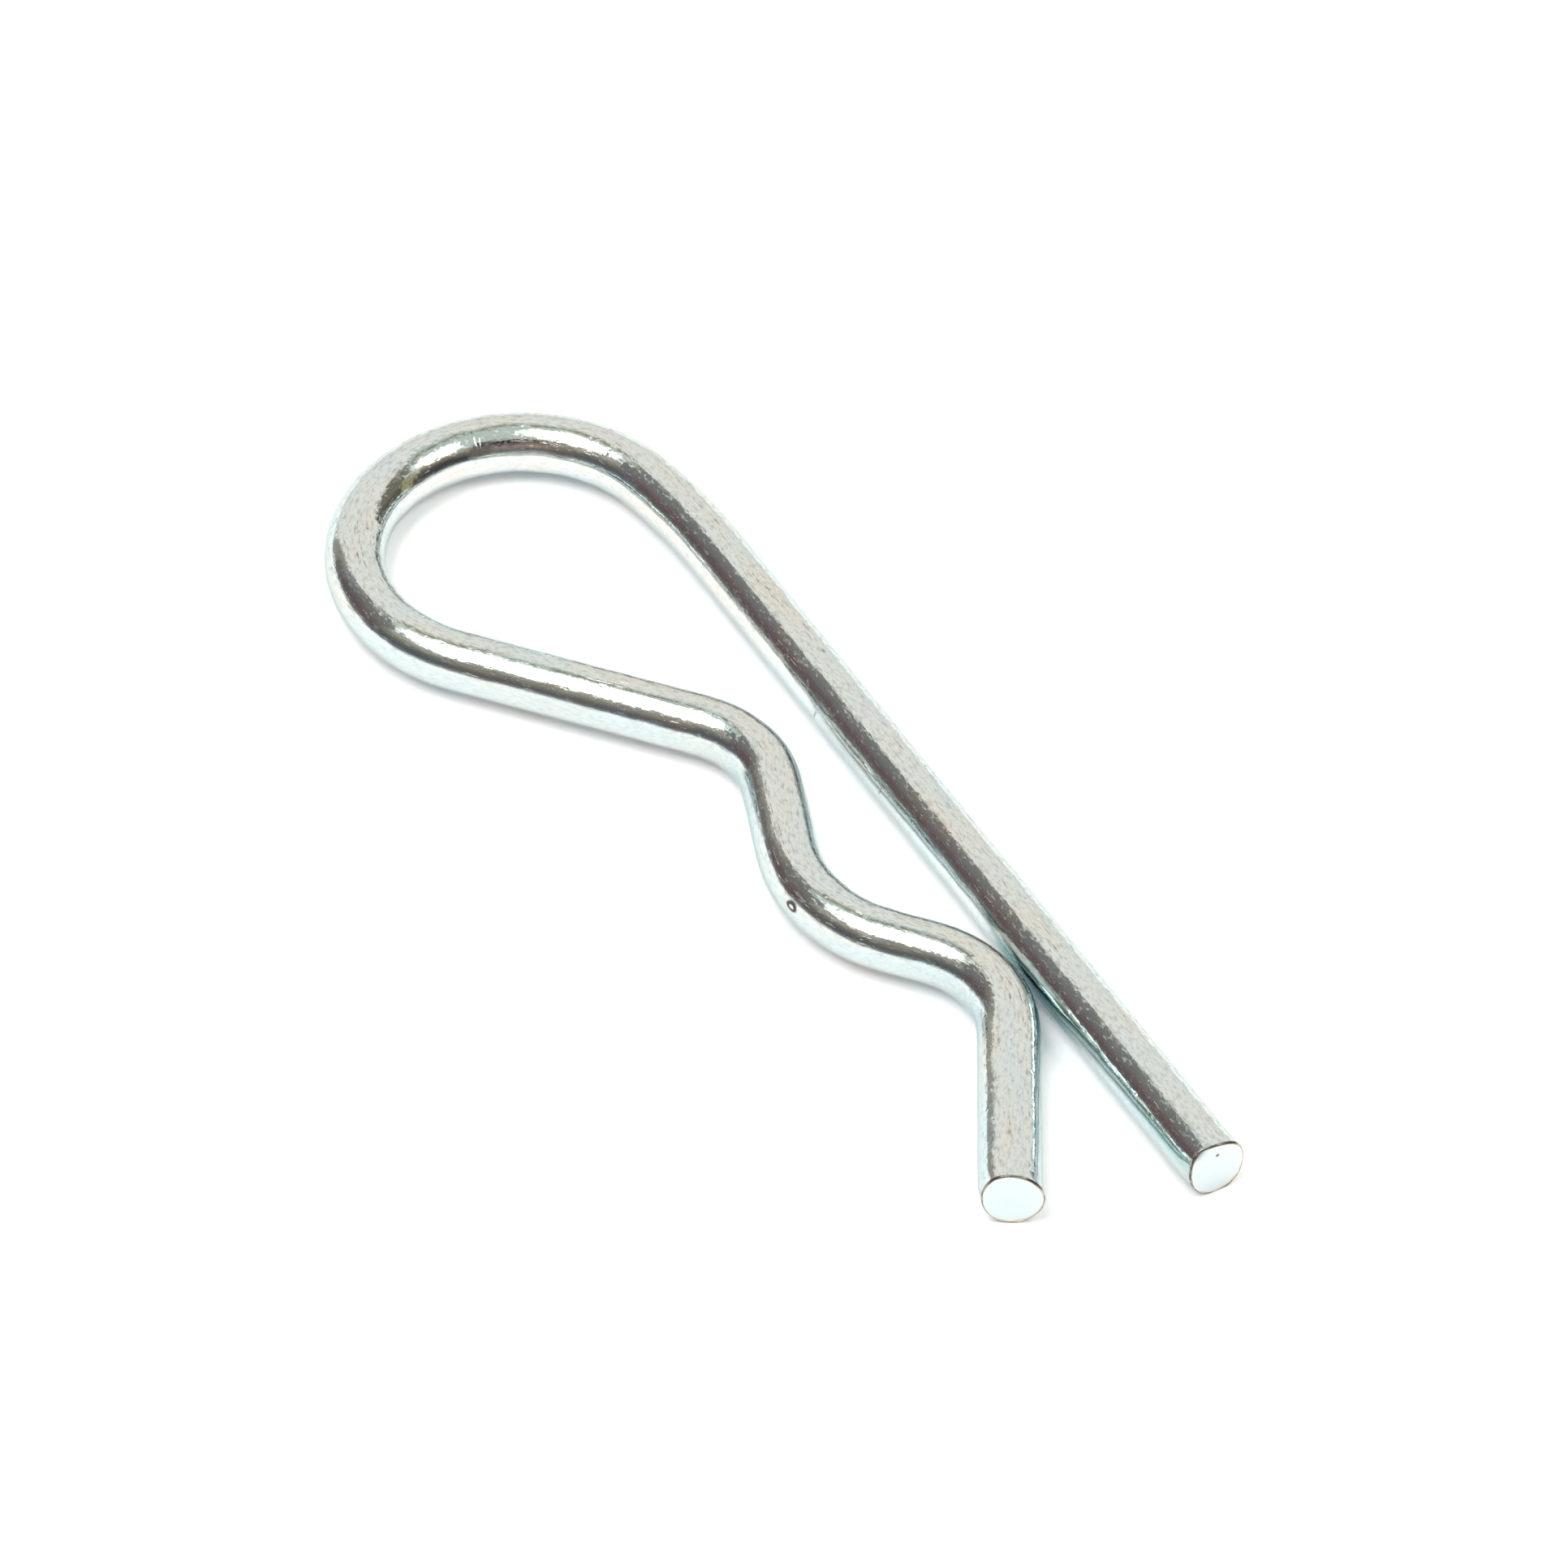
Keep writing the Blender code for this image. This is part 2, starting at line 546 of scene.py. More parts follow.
@dataclass(frozen=True)
class BrightZincPlate:
    """Bright zinc with a clear blue chromate, over drawn spring-steel wire.

    Zinc plate is a pale mirror that follows the steel under it, so the eye gets soft,
    ragged reflections with silvery grain, fine lines along the wire from the drawing die,
    small dark pits drawn out with them, and a beige cloud where the chromate is thick. The
    chromate is teal where it is seen at a slant. Between the legs and along the outside of
    the bent leg the plate gets a painted teal reflection and painted shade, which stand in
    for the light mirrored over and over in the gap and for the shaded table in the flank.

    Heights are in millimetres. A pair of numbers says at which values of its noise an
    effect starts and is full.
    """

    name: str = "bright_zinc_on_drawn_steel"
    blued: str = "#D8E4E7"
    clean: str = "#DBE4E4"
    beige: str = "#DFE1DD"
    slant: str = "#D6E1E1"
    # The dark colour of pits and marks, and of the painted shade at the cut rims
    pit_and_rim_shade: str = "#5B554F"
    # The tint of the painted teal reflection and painted shade between the legs
    painted_reflection: str = "#C2E0E4"
    tint_stops: tuple[float, float, float] = (0.34, 0.50, 0.66)
    smooth: float = 0.06
    dull: float = 0.13
    chromate: Clouds = Clouds(5.0, 0.9, 3.0)
    patches: Clouds = Clouds(0.7, 0.45, 2.0)
    die_lines: Clouds = Clouds(2.2, 0.12, 2.0)
    pits: Clouds = Clouds(1.1, 0.11, 2.0)
    swell: Clouds = Clouds(1.1, 1.1, 1.0)
    # The real grain is about a hundredth of a millimetre. It is drawn as coarse as it
    # needs to show.
    grain: Clouds = Clouds(0.375, 0.15, 2.0)
    dimples: Spots = Spots(0.416, 0.26, 0.5, 0.30)
    line_height: float = 0.004
    grain_height: float = 0.007
    dimple_height: float = -0.006
    pit_height: float = -0.008
    swell_height: float = 0.012
    rubbed_height: float = 0.4
    grained_height: float = 1.2
    rubbed_grain: float = 0.12
    gathering: tuple[float, float] = (0.46, 0.58)
    pitting: tuple[float, float] = (0.64, 0.72)
    specking: tuple[float, float] = (0.52, 0.72)
    mottling: tuple[float, float] = (0.36, 0.72)
    dulling: tuple[float, float] = (0.36, 0.66)
    pit_darkness: float = 0.7
    mottle_darkness: float = 0.16
    speck_darkness: float = 0.16
    speck_roughness: float = 0.34
    pit_roughness: float = 0.2
    wear_roughness: float = 0.25

    def summed(self, tree: bpy.types.NodeTree, parts: list[tuple[Socket, float]]) -> Socket:
        """Adds up the parts, each times its weight.

        Args:
            tree: the node tree of the finish.
            parts: outputs of nodes with their weights.

        Returns:
            The sum.
        """
        total: Socket | float = 0.0
        for part, weight in parts:
            total = add_node(
                tree,
                "ShaderNodeMath",
                {"operation": "MULTIPLY_ADD"},
                {0: part, 1: weight, 2: total},
            ).outputs[0]
        return total

    def pattern(self, tree: bpy.types.NodeTree) -> PlatePattern:
        """Draws what relief, colour and gloss share.

        The grain is full on the upper part of the wire and nearly rubbed away on its
        flanks. The streaks are the drawn-out pits times the places where they gather.

        Args:
            tree: the node tree of the finish.

        Returns:
            The pattern.
        """
        drawn = add_node(tree, "ShaderNodeAttribute", {"attribute_name": STRAIGHT_COORDINATES})
        marked_and_shaded = add_node(tree, "ShaderNodeAttribute", {"attribute_name": WEAR_AND_PAINTED_SHADE})
        # Reads the painted teal reflection and painted shade between the legs
        painted_reflection_read = add_node(tree, "ShaderNodeAttribute", {"attribute_name": PAINTED_REFLECTION_LAYER})
        place = drawn.outputs["Vector"]
        axes = add_node(tree, "ShaderNodeSeparateXYZ", None, {"Vector": place})
        grained = add_node(
            tree,
            "ShaderNodeMapRange",
            {"interpolation_type": "SMOOTHSTEP"},
            {
                "Value": axes.outputs["Z"],
                "From Min": self.rubbed_height * MM,
                "From Max": self.grained_height * MM,
                "To Min": self.rubbed_grain,
            },
        )
        cloud = self.chromate.drawn(tree, place)
        grain = self.grain.drawn(tree, place)
        gathered = add_node(
            tree,
            "ShaderNodeMapRange",
            None,
            {"Value": cloud, "From Min": self.gathering[0], "From Max": self.gathering[1]},
        )
        drawn_out = add_node(
            tree,
            "ShaderNodeMapRange",
            None,
            {
                "Value": self.pits.drawn(tree, place),
                "From Min": self.pitting[0],
                "From Max": self.pitting[1],
            },
        )
        streaks = add_node(
            tree,
            "ShaderNodeMath",
            {"operation": "MULTIPLY"},
            {0: drawn_out.outputs["Result"], 1: gathered.outputs["Result"]},
        )
        specks = add_node(
            tree,
            "ShaderNodeMapRange",
            None,
            {
                "Value": grain,
                "From Min": self.specking[0],
                "From Max": self.specking[1],
                "To Max": grained.outputs["Result"],
            },
        )
        return PlatePattern(
            place,
            marked_and_shaded.outputs["Fac"],
            painted_reflection_read.outputs["Fac"],
            grained.outputs["Result"],
            cloud,
            grain,
            streaks.outputs[0],
            specks.outputs["Result"],
        )

    def relief(self, tree: bpy.types.NodeTree, pattern: PlatePattern) -> Socket:
        """Draws the lines, grain, dimples and pits, which are rubbed away, and the swell.

        Args:
            tree: the node tree of the finish.
            pattern: what relief, colour and gloss share.

        Returns:
            The normals.
        """
        fine = self.summed(
            tree,
            [
                (self.die_lines.drawn(tree, pattern.place), self.line_height),
                (pattern.grain, self.grain_height),
                (self.dimples.drawn(tree, pattern.place), self.dimple_height),
                (pattern.streaks, self.pit_height),
            ],
        )
        rubbed = add_node(
            tree, "ShaderNodeMath", {"operation": "MULTIPLY"}, {0: fine, 1: pattern.grained}
        )
        swell = self.swell.drawn(tree, pattern.place)
        height = self.summed(tree, [(rubbed.outputs[0], 1.0), (swell, self.swell_height)])
        bump = add_node(
            tree, "ShaderNodeBump", None, {"Strength": 1.0, "Distance": MM, "Height": height}
        )
        return bump.outputs["Normal"]

    def colour(self, tree: bpy.types.NodeTree, pattern: PlatePattern) -> Socket:
        """Tints the plate by its chromate and by the painted teal reflection between the legs,
        and darkens it at pits and marks and with the painted shade at the cut rims.

        Args:
            tree: the node tree of the finish.
            pattern: what relief, colour and gloss share.

        Returns:
            The colour.
        """
        tint = add_node(tree, "ShaderNodeValToRGB", None, {"Fac": pattern.cloud})
        tints = (self.blued, self.clean, self.beige)
        grade(tint.color_ramp, [*zip(self.tint_stops, tints)])
        # Multiplies in the painted teal reflection and painted shade between the legs
        reflection_tinted = add_node(
            tree,
            "ShaderNodeMix",
            {"data_type": "RGBA", "blend_type": "MULTIPLY", "clamp_factor": True},
            {FACTOR: pattern.painted_reflection, FIRST: tint.outputs["Color"], SECOND: linear(self.painted_reflection)},
        )
        mottled = add_node(
            tree,
            "ShaderNodeMapRange",
            None,
            {
                "Value": pattern.grain,
                "From Min": self.mottling[0],
                "From Max": self.mottling[1],
                "To Max": self.mottle_darkness,
            },
        )
        fouled = add_node(
            tree,
            "ShaderNodeMath",
            {"operation": "MULTIPLY"},
            {0: pattern.streaks, 1: pattern.grained},
        )
        # The marks' darkening includes the painted shade of the cut rims
        darkness = self.summed(
            tree,
            [
                (fouled.outputs[0], self.pit_darkness),
                (pattern.wear_and_painted_shade, 1.0),
                (mottled.outputs["Result"], 1.0),
                (pattern.specks, self.speck_darkness),
            ],
        )
        darkened = add_node(
            tree,
            "ShaderNodeMix",
            {"data_type": "RGBA", "clamp_factor": True},
            {FACTOR: darkness, FIRST: reflection_tinted.outputs[MIXED], SECOND: linear(self.pit_and_rim_shade)},
        )
        return darkened.outputs[MIXED]

    def gloss(self, tree: bpy.types.NodeTree, pattern: PlatePattern) -> Socket:
        """Makes the plate smooth or dull in patches, and rougher where it is marked.

        Args:
            tree: the node tree of the finish.
            pattern: what relief, colour and gloss share.

        Returns:
            The roughness.
        """
        patched = add_node(
            tree,
            "ShaderNodeMapRange",
            None,
            {
                "Value": self.patches.drawn(tree, pattern.place),
                "From Min": self.dulling[0],
                "From Max": self.dulling[1],
                "To Min": self.smooth,
                "To Max": self.dull,
            },
        )
        return self.summed(
            tree,
            [
                (patched.outputs["Result"], 1.0),
                (pattern.specks, self.speck_roughness),
                (pattern.streaks, self.pit_roughness),
                (pattern.wear_and_painted_shade, self.wear_roughness),
            ],
        )

    def made(self) -> bpy.types.Material:
        """Builds the finish.

        Returns:
            The material.
        """
        material, tree = new_tree(self.name)
        pattern = self.pattern(tree)
        shader = add_node(
            tree,
            "ShaderNodeBsdfPrincipled",
            None,
            {
                "Base Color": self.colour(tree, pattern),
                "Metallic": 1.0,
                "Roughness": self.gloss(tree, pattern),
                "Specular Tint": linear(self.slant),
                "Normal": self.relief(tree, pattern),
            },
        )
        add_node(
            tree, "ShaderNodeOutputMaterial", None, {"Surface": shader.outputs["BSDF"]}
        )
        return material


@dataclass(frozen=True)
class PlatedShearFace:
    """The cropped end of the wire, plated with the rest.

    A shear leaves a dull, slightly torn face, so the plate on it is flatter and whiter
    than on the drawn wire. Where the blade came through, the thin edge is cream. The sharp
    rim is painted brown, a painted dark reflection and shade of its rolled edge, and the
    face's pits are brown too. The tear's size and height are in millimetres.
    """

    name: str = "zinc_on_sheared_face"
    clean: str = "#D2E0E3"
    cream: str = "#D3CFC2"
    # The brown of the pits and of the painted rim shade, a painted dark reflection and shade
    brown: str = "#6E6359"
    wear_and_painted_shade_stops: tuple[float, float, float] = (0.05, 0.4, 0.85)
    roughness: float = 0.34
    tear: float = 0.25
    tear_detail: float = 4.0
    tear_height: float = 0.01
    tear_strength: float = 0.5

    def made(self) -> bpy.types.Material:
        """Builds the finish.

        Returns:
            The material.
        """
        material, tree = new_tree(self.name)
        place = add_node(tree, "ShaderNodeTexCoord").outputs["Object"]
        marked_and_shaded = add_node(tree, "ShaderNodeAttribute", {"attribute_name": WEAR_AND_PAINTED_SHADE})
        torn = add_node(
            tree,
            "ShaderNodeTexNoise",
            None,
            {"Vector": place, "Scale": 1 / (self.tear * MM), "Detail": self.tear_detail},
        )
        tint = add_node(tree, "ShaderNodeValToRGB", None, {"Fac": marked_and_shaded.outputs["Fac"]})
        tints = (self.clean, self.cream, self.brown)
        grade(tint.color_ramp, [*zip(self.wear_and_painted_shade_stops, tints)])
        bump = add_node(
            tree,
            "ShaderNodeBump",
            None,
            {
                "Strength": self.tear_strength,
                "Distance": self.tear_height * MM,
                "Height": torn.outputs["Fac"],
            },
        )
        shader = add_node(
            tree,
            "ShaderNodeBsdfPrincipled",
            None,
            {
                "Base Color": tint.outputs["Color"],
                "Metallic": 1.0,
                "Roughness": self.roughness,
                "Normal": bump.outputs["Normal"],
            },
        )
        add_node(
            tree, "ShaderNodeOutputMaterial", None, {"Surface": shader.outputs["BSDF"]}
        )
        return material


class MarkShape(Enum):
    """The form of a small mark on the wire."""

    MOUND = "mound"
    BLISTER = "blister"


@dataclass(frozen=True)
class Mark:
    """A small mark on the wire, in millimetres, with its angle round the wire in degrees."""

    along: float
    angle: float
    half_length: float
    half_width: float
    height: float
    wear_and_painted_shade: float
    shape: MarkShape = MarkShape.MOUND
    slant: float = 0.0

    def strength(self, along: np.ndarray, around: np.ndarray, radius: float) -> np.ndarray:
        """How strongly the mark shows at each point.

        With u and v the distances from its middle in half lengths and half widths, and q
        their root sum of squares, a mound is exp(-q^2) and a blister is a ring,
        exp(-((q - 1) / r)^2), with r half the thickness of its rim. A slanting mark has
        its slant times v added to u.

        Args:
            along: places along the wire, as a column.
            around: angles round the section, as a row.
            radius: the wire's radius.

        Returns:
            The strength, 1 at its strongest.
        """
        turned = np.angle(np.exp(1j * (around - math.radians(self.angle))))
        across = turned * radius / (self.half_width * MM)
        ahead = (along - self.along * MM) / (self.half_length * MM) + self.slant * across
        reach = np.hypot(ahead, across)
        if self.shape is MarkShape.BLISTER:
            return np.exp(-(((reach - 1) / BLISTER_RIM) ** 2))
        return np.exp(-(reach**2))


@dataclass(frozen=True)
class CroppedEnd:
    """The shape that the cutter leaves at one end: squeezed, rolled over, with a burr.

    Lobes are (how many round the wire, share of the radius, phase in degrees), painted
    shades of the rim, a painted dark reflection and shade of its rolled edge, are (angle,
    spread, strength) and pits of the face are (to the left, up, radius).
    Angles are in degrees round the wire and lengths in millimetres. The rim and the lip
    inside it have their places and blends as shares of the radius.
    """

    lobes: tuple[tuple[int, float, float], ...]
    reach: float
    roll_angle: float
    roll_spread: float
    roll_depth: float
    burr_angle: float
    burr_spread: float
    burr_height: float
    # Painted shade on the rim: a painted dark reflection and shade of the rolled edge
    painted_rim_shades: tuple[tuple[float, float, float], ...]
    seed: int
    pits: tuple[tuple[float, float, float], ...] = ()
    fade: float = 0.4
    roll_power: int = 5
    burr_power: int = 12
    rim_lobes: int = 17
    rim_waves: int = 24
    rim_start: float = 0.936
    rim_burr: float = 0.022
    rim_waver: float = 0.012
    rim_blend: float = 0.016
    # How dark the painted shade makes the whole rim
    painted_rim_shade: float = 0.66
    rim_patches: float = 0.14
    lip_width: float = 0.07
    lip_blend: float = 0.04
    lip_wear: float = 0.42
    pit_power: int = 4

    def bell(self, around: np.ndarray, angle: float, spread: float) -> np.ndarray:
        """A bell curve round the wire, exp(-(turn / spread)^2)."""
        turned = np.angle(np.exp(1j * (around - math.radians(angle))))
        return np.exp(-((turned / math.radians(spread)) ** 2))

    def squeeze(self, from_end: np.ndarray, around: np.ndarray) -> np.ndarray:
        """The share by which the radius grows: the sum of the lobes, dying out along the wire.

        Args:
            from_end: distances from the cropped face.
            around: angles round the wire.

        Returns:
            The growth as a share of the radius.
        """
        lobed = sum(
            share * np.cos(count * around - math.radians(phase))
            for count, share, phase in self.lobes
        )
        return lobed * np.exp(-((from_end / (self.reach * MM)) ** 2))

    def pulled_back(
        self, from_end: np.ndarray, share: np.ndarray, around: np.ndarray
    ) -> np.ndarray:
        """How far the face lies back from a flat cut.

        It is the roll depth times its bell times a power of the share of the radius, less
        the burr height times its bell times a higher power, and both die out along the wire.

        Args:
            from_end: distances from the cropped face.
            share: shares of the full radius.
            around: angles round the wire.

        Returns:
            The distances, in metres.
        """
        rolled = self.roll_depth * self.bell(around, self.roll_angle, self.roll_spread)
        burred = self.burr_height * self.bell(around, self.burr_angle, self.burr_spread)
        fade = np.exp(-from_end / (self.fade * MM))
        return (rolled * share**self.roll_power - burred * share**self.burr_power) * fade * MM

    def face_wear_and_rim_shade(self, reach: np.ndarray, share: np.ndarray, around: np.ndarray) -> np.ndarray:
        """Painted brown shade on the sharp rim, cream on the lip inside it by the burr, and the
        pits.

        Args:
            reach: distances from the wire's axis.
            share: shares of the full radius.
            around: angles round the wire.

        Returns:
            The darkening, from 0 where the plate is clean to 1 where it is brown.
        """
        # Painted brown shade on the rim, standing in for the dark reflection and shade of its
        # rolled edge
        rim_shaded = sum(
            strength * self.bell(around, angle, spread) for angle, spread, strength in self.painted_rim_shades
        )
        burred = self.bell(around, self.burr_angle, self.burr_spread)
        ragged = ripple(
            np.zeros((1, 1)), around, 1.0, self.rim_lobes, self.rim_waves, self.seed
        )
        start = self.rim_start - self.rim_burr * burred + self.rim_waver * ragged
        rim = np.clip((share - start) / self.rim_blend, 0, 1)
        rim = rim * (self.painted_rim_shade + rim_shaded + self.rim_patches * ragged)
        lip = np.clip((share - start + self.lip_width) / self.lip_blend, 0, 1)
        wear_and_painted_shade = np.maximum(rim, self.lip_wear * burred * lip)
        left, up = reach * np.cos(around) / MM, reach * np.sin(around) / MM
        for pit_left, pit_up, radius in self.pits:
            distance = np.hypot(left - pit_left, up - pit_up)
            wear_and_painted_shade = np.maximum(wear_and_painted_shade, np.exp(-((distance / radius) ** self.pit_power)))
        return wear_and_painted_shade


STRAIGHT_END = CroppedEnd(
    lobes=((1, 0.045, 188.0), (2, 0.040, 150.0), (3, 0.022, 80.0), (4, 0.016, 180.0)),
    reach=0.8,
    roll_angle=58.0,
    roll_spread=24.0,
    roll_depth=0.26,
    burr_angle=-115.0,
    burr_spread=55.0,
    burr_height=0.06,
    # Painted rim shade where the rolled edge mirrors dark surroundings
    painted_rim_shades=((120.0, 16.0, 0.35), (8.0, 22.0, 0.25), (-115.0, 40.0, 0.15)),
    seed=11,
    pits=((-0.04, 0.87, 0.10),),
)
FLARED_END = CroppedEnd(
    lobes=((1, 0.080, 22.0), (2, 0.028, 180.0), (3, 0.010, 20.0)),
    reach=0.6,
    roll_angle=125.0,
    roll_spread=30.0,
    roll_depth=0.10,
    burr_angle=-70.0,
    burr_spread=60.0,
    burr_height=0.03,
    # Painted rim shade where the rolled edge mirrors dark surroundings
    painted_rim_shades=((125.0, 16.0, 0.35), (48.0, 14.0, 0.35), (-165.0, 22.0, 0.30)),
    seed=12,
)

# A blister on the seat, two steps on the straight leg, three small pits and, on the bow,
# two scratches, each as its place along and round the wire, its half length and half
# width, its height and its wear
MARKS = (
    Mark(108.35, 161.0, 0.23, 0.15, 0.030, 1.60, MarkShape.BLISTER),
    Mark(34.45, 7.0, 0.06, 0.20, 0.016, 0.60, slant=0.5),
    Mark(28.25, 14.0, 0.06, 0.20, 0.014, 0.55, slant=0.5),
    Mark(36.98, 106.0, 0.13, 0.08, -0.012, 0.80),
    Mark(72.09, 65.0, 0.12, 0.08, -0.010, 0.60),
    Mark(62.50, 56.0, 0.06, 0.40, -0.010, 0.25, slant=-0.5),
    Mark(62.25, 48.0, 0.05, 0.30, -0.010, 0.20, slant=0.6),
    Mark(129.00, 92.0, 0.16, 0.08, -0.010, 0.60),
)

# Painted teal reflection and painted shade on the facing sides of the two legs and along
# the outside of the bent leg, where the plate mirrors the gap and the shaded table
PAINTED_REFLECTIONS = (
    Mark(1.0, 19.0, 8.0, 0.38, 0.0, 1.0),
    Mark(12.5, -8.0, 2.4, 0.55, 0.0, 1.2),
    Mark(16.2, 5.0, 1.1, 0.40, 0.0, 1.0),
    Mark(127.0, 13.0, 5.0, 0.34, 0.0, 0.75),
    Mark(28.0, 3.0, 9.0, 0.30, 0.0, 0.35),
    Mark(97.0, 170.0, 28.0, 0.68, 0.0, 0.34),
    Mark(118.5, 165.0, 5.0, 0.60, 0.0, 0.30),
    Mark(129.0, 143.0, 5.0, 0.40, 0.0, 0.30),
)


@dataclass
class HairpinWire:
    """The whole pin: one swept wire with two cropped ends."""

    path: WirePath = field(default_factory=WirePath)
    ring_spacing: float = 0.30 * MM
    end_spacing: float = 0.06 * MM
    sides: int = 128
    edge_radius: float = 0.08 * MM
    edge_steps: int = 6
    face_steps: int = 44
    face_crowding: float = 0.7
    spacing_samples: int = 60001
    rings_before: int = 6
    rings_on_mark: int = 4
    waviness: float = 0.006 * MM
    wave_length: float = 3 * MM
    wave_lobes: int = 4
    wave_count: int = 18
    wave_seed: int = 5

    def body_places(self) -> np.ndarray:
        """Places of the rings between the two edges, closer where there is more to show.

        The spacing is the smallest of the plain one, a fixed part of the distance to each
        mark and the same part of the distance to each end. The places lie at even steps of
        the running sum of one over the spacing.

        Returns:
            The places, from one edge to the other.
        """
        total = self.path.length()
        fine = np.linspace(self.edge_radius, total - self.edge_radius, self.spacing_samples)
        from_end = np.minimum(fine, total - fine)
        gap = np.clip(from_end / self.rings_before, self.end_spacing, self.ring_spacing)
        for mark in MARKS:
            near = np.abs(fine - mark.along * MM) / self.rings_before
            on_mark = mark.half_length * MM / self.rings_on_mark
            gap = np.minimum(gap, np.maximum(near, on_mark))
        count = np.concatenate([[0.0], np.cumsum(np.diff(fine) / gap[1:])])
        return np.interp(np.linspace(0, count[-1], int(count[-1]) + 2), count, fine)

    def stations(self) -> tuple[np.ndarray, np.ndarray, np.ndarray]:
        """The profile carried round the wire's axis, from one face's middle to the other's.

        Each station has a place along the middle line, a share of the full radius and a
        flag that says whether it lies on a cropped face. The edge is a quarter circle:
        at angle t the radius is short by e (1 - sin t) and the place by e (1 - cos t).

        Returns:
            Places along, shares of the radius and face flags.
        """
        edge = self.edge_radius / (self.path.wire / 2)
        total = self.path.length()
        turn = np.linspace(0, math.pi / 2, self.edge_steps + 1)
        spread = np.linspace(0, 1, self.face_steps + 1)[1:-1] ** self.face_crowding
        body = self.body_places()[1:-1]
        start_along = np.concatenate(
            [np.zeros(len(spread)), self.edge_radius * (1 - np.cos(turn))]
        )
        start_shares = np.concatenate([(1 - edge) * spread, 1 - edge * (1 - np.sin(turn))])
        along = np.concatenate([start_along, body, total - start_along[::-1]])
        shares = np.concatenate([start_shares, np.ones(len(body)), start_shares[::-1]])
        flags = np.zeros(len(along), bool)
        flags[: len(spread) + self.edge_steps // 2 + 1] = True
        flags[-len(spread) - self.edge_steps // 2 - 1 :] = True
        return along, shares, flags

    def built(self, low: Vector, high: Vector) -> bpy.types.Object:
        """Sweeps the wire over the solid that it stands for.

        A point at angle a round the ring at place s is the middle line at s, plus the
        radius times (cos a times the left-hand vector plus sin a times straight up). The
        radius is the wire's, with its waves, marks and squeezed ends added, and the
        lowest points rest on the table.

        Args:
            low: the lowest corner of the solid.
            high: its highest corner.

        Returns:
            The finished piece.
        """
        along, shares, flags = self.stations()
        middle = np.array([(low.x + high.x) / 2, (low.y + high.y) / 2])
        points = self.path.at(along, middle - self.path.box_centre())
        angles = np.linspace(0, 2 * math.pi, self.sides, endpoint=False)[None, :]
        full, place, share = self.path.wire / 2, along[:, None], shares[:, None]
        waves = ripple(
            place, angles, self.wave_length, self.wave_lobes, self.wave_count, self.wave_seed
        )
        growth = waves * self.waviness / full
        wear_and_painted_shade = np.zeros(growth.shape)
        for mark in MARKS:
            strength = mark.strength(place, angles, full)
            growth += strength * mark.height * MM / full
            wear_and_painted_shade += strength * mark.wear_and_painted_shade
        # Painted teal reflection and painted shade between the legs and on the bent leg's outside
        painted_reflection = sum(mark.wear_and_painted_shade * mark.strength(place, angles, full) for mark in PAINTED_REFLECTIONS)
        back = np.zeros(growth.shape)
        total = self.path.length()
        for end, from_end, sign in (
            (STRAIGHT_END, place, 1.0),
            (FLARED_END, total - place, -1.0),
        ):
            growth += end.squeeze(from_end, angles)
            back += sign * end.pulled_back(from_end, share, angles)
            # The cut rims' painted shade joins the darkening of the marks
            faced = end.face_wear_and_rim_shade(full * share, share, angles)
            wear_and_painted_shade += np.where(from_end < self.edge_radius, faced, 0.0)
        reach = full * share * (1 + growth)
        sideways, upward = reach * np.cos(angles), reach * np.sin(angles)
        upward = np.maximum(upward, -full)
        run = np.stack([np.cos(points.heading), np.sin(points.heading)], axis=-1)
        rings = np.empty((len(along), self.sides, 3))
        rings[..., :2] = points.centre[:, None, :] + sideways[..., None] * points.left[:, None, :]
        rings[..., :2] += back[..., None] * run[:, None, :]
        rings[..., 2] = full + upward
        drawn = np.stack(
            [np.broadcast_to(place, sideways.shape), sideways, upward], axis=-1
        )
        return self.meshed(points, rings, drawn, {WEAR_AND_PAINTED_SHADE: wear_and_painted_shade, PAINTED_REFLECTION_LAYER: painted_reflection}, flags)

    def meshed(
        self,
        points: PathPoints,
        rings: np.ndarray,
        drawn: np.ndarray,
        shades: dict[str, np.ndarray],
        flags: np.ndarray,
    ) -> bpy.types.Object:
        """Skins the rings and closes both faces on their middle points.

        Args:
            points: the middle line at the rings.
            rings: the points of the rings.
            drawn: the place of each point on the wire before it was bent.
            shades: values at the points that the finishes read, by the attribute's name.
            flags: whether each ring lies on a cropped face.

        Returns:
            The piece, in the scene.
        """
        count, sides = rings.shape[:2]
        index = np.arange(count * sides).reshape(count, sides)
        ahead = np.roll(index, -1, axis=1)
        quads = np.stack([index[:-1], ahead[:-1], ahead[1:], index[1:]], axis=-1).reshape(-1, 4)
        poles = np.array([count * sides, count * sides + 1])
        first = np.stack([np.full(sides, poles[0]), ahead[0], index[0]], axis=-1)
        last = np.stack([np.full(sides, poles[1]), index[-1], ahead[-1]], axis=-1)
        pole_places = np.zeros((2, 3))
        pole_places[:, :2] = points.centre[[0, -1]]
        pole_places[:, 2] = self.path.wire / 2
        pole_drawn = np.array([[points.along[0], 0, 0], [points.along[-1], 0, 0]])
        vertices = np.concatenate([rings.reshape(-1, 3), pole_places])
        mesh = bpy.data.meshes.new("fine_wire")
        mesh.from_pydata(vertices, [], [*quads.tolist(), *first.tolist(), *last.tolist()])
        stored = mesh.attributes.new(STRAIGHT_COORDINATES, "FLOAT_VECTOR", "POINT")
        flat = np.concatenate([drawn.reshape(-1, 3), pole_drawn]).astype(np.float32)
        stored.data.foreach_set("vector", flat.ravel())
        for name, shade in shades.items():
            layer = mesh.attributes.new(name, "FLOAT", "POINT")
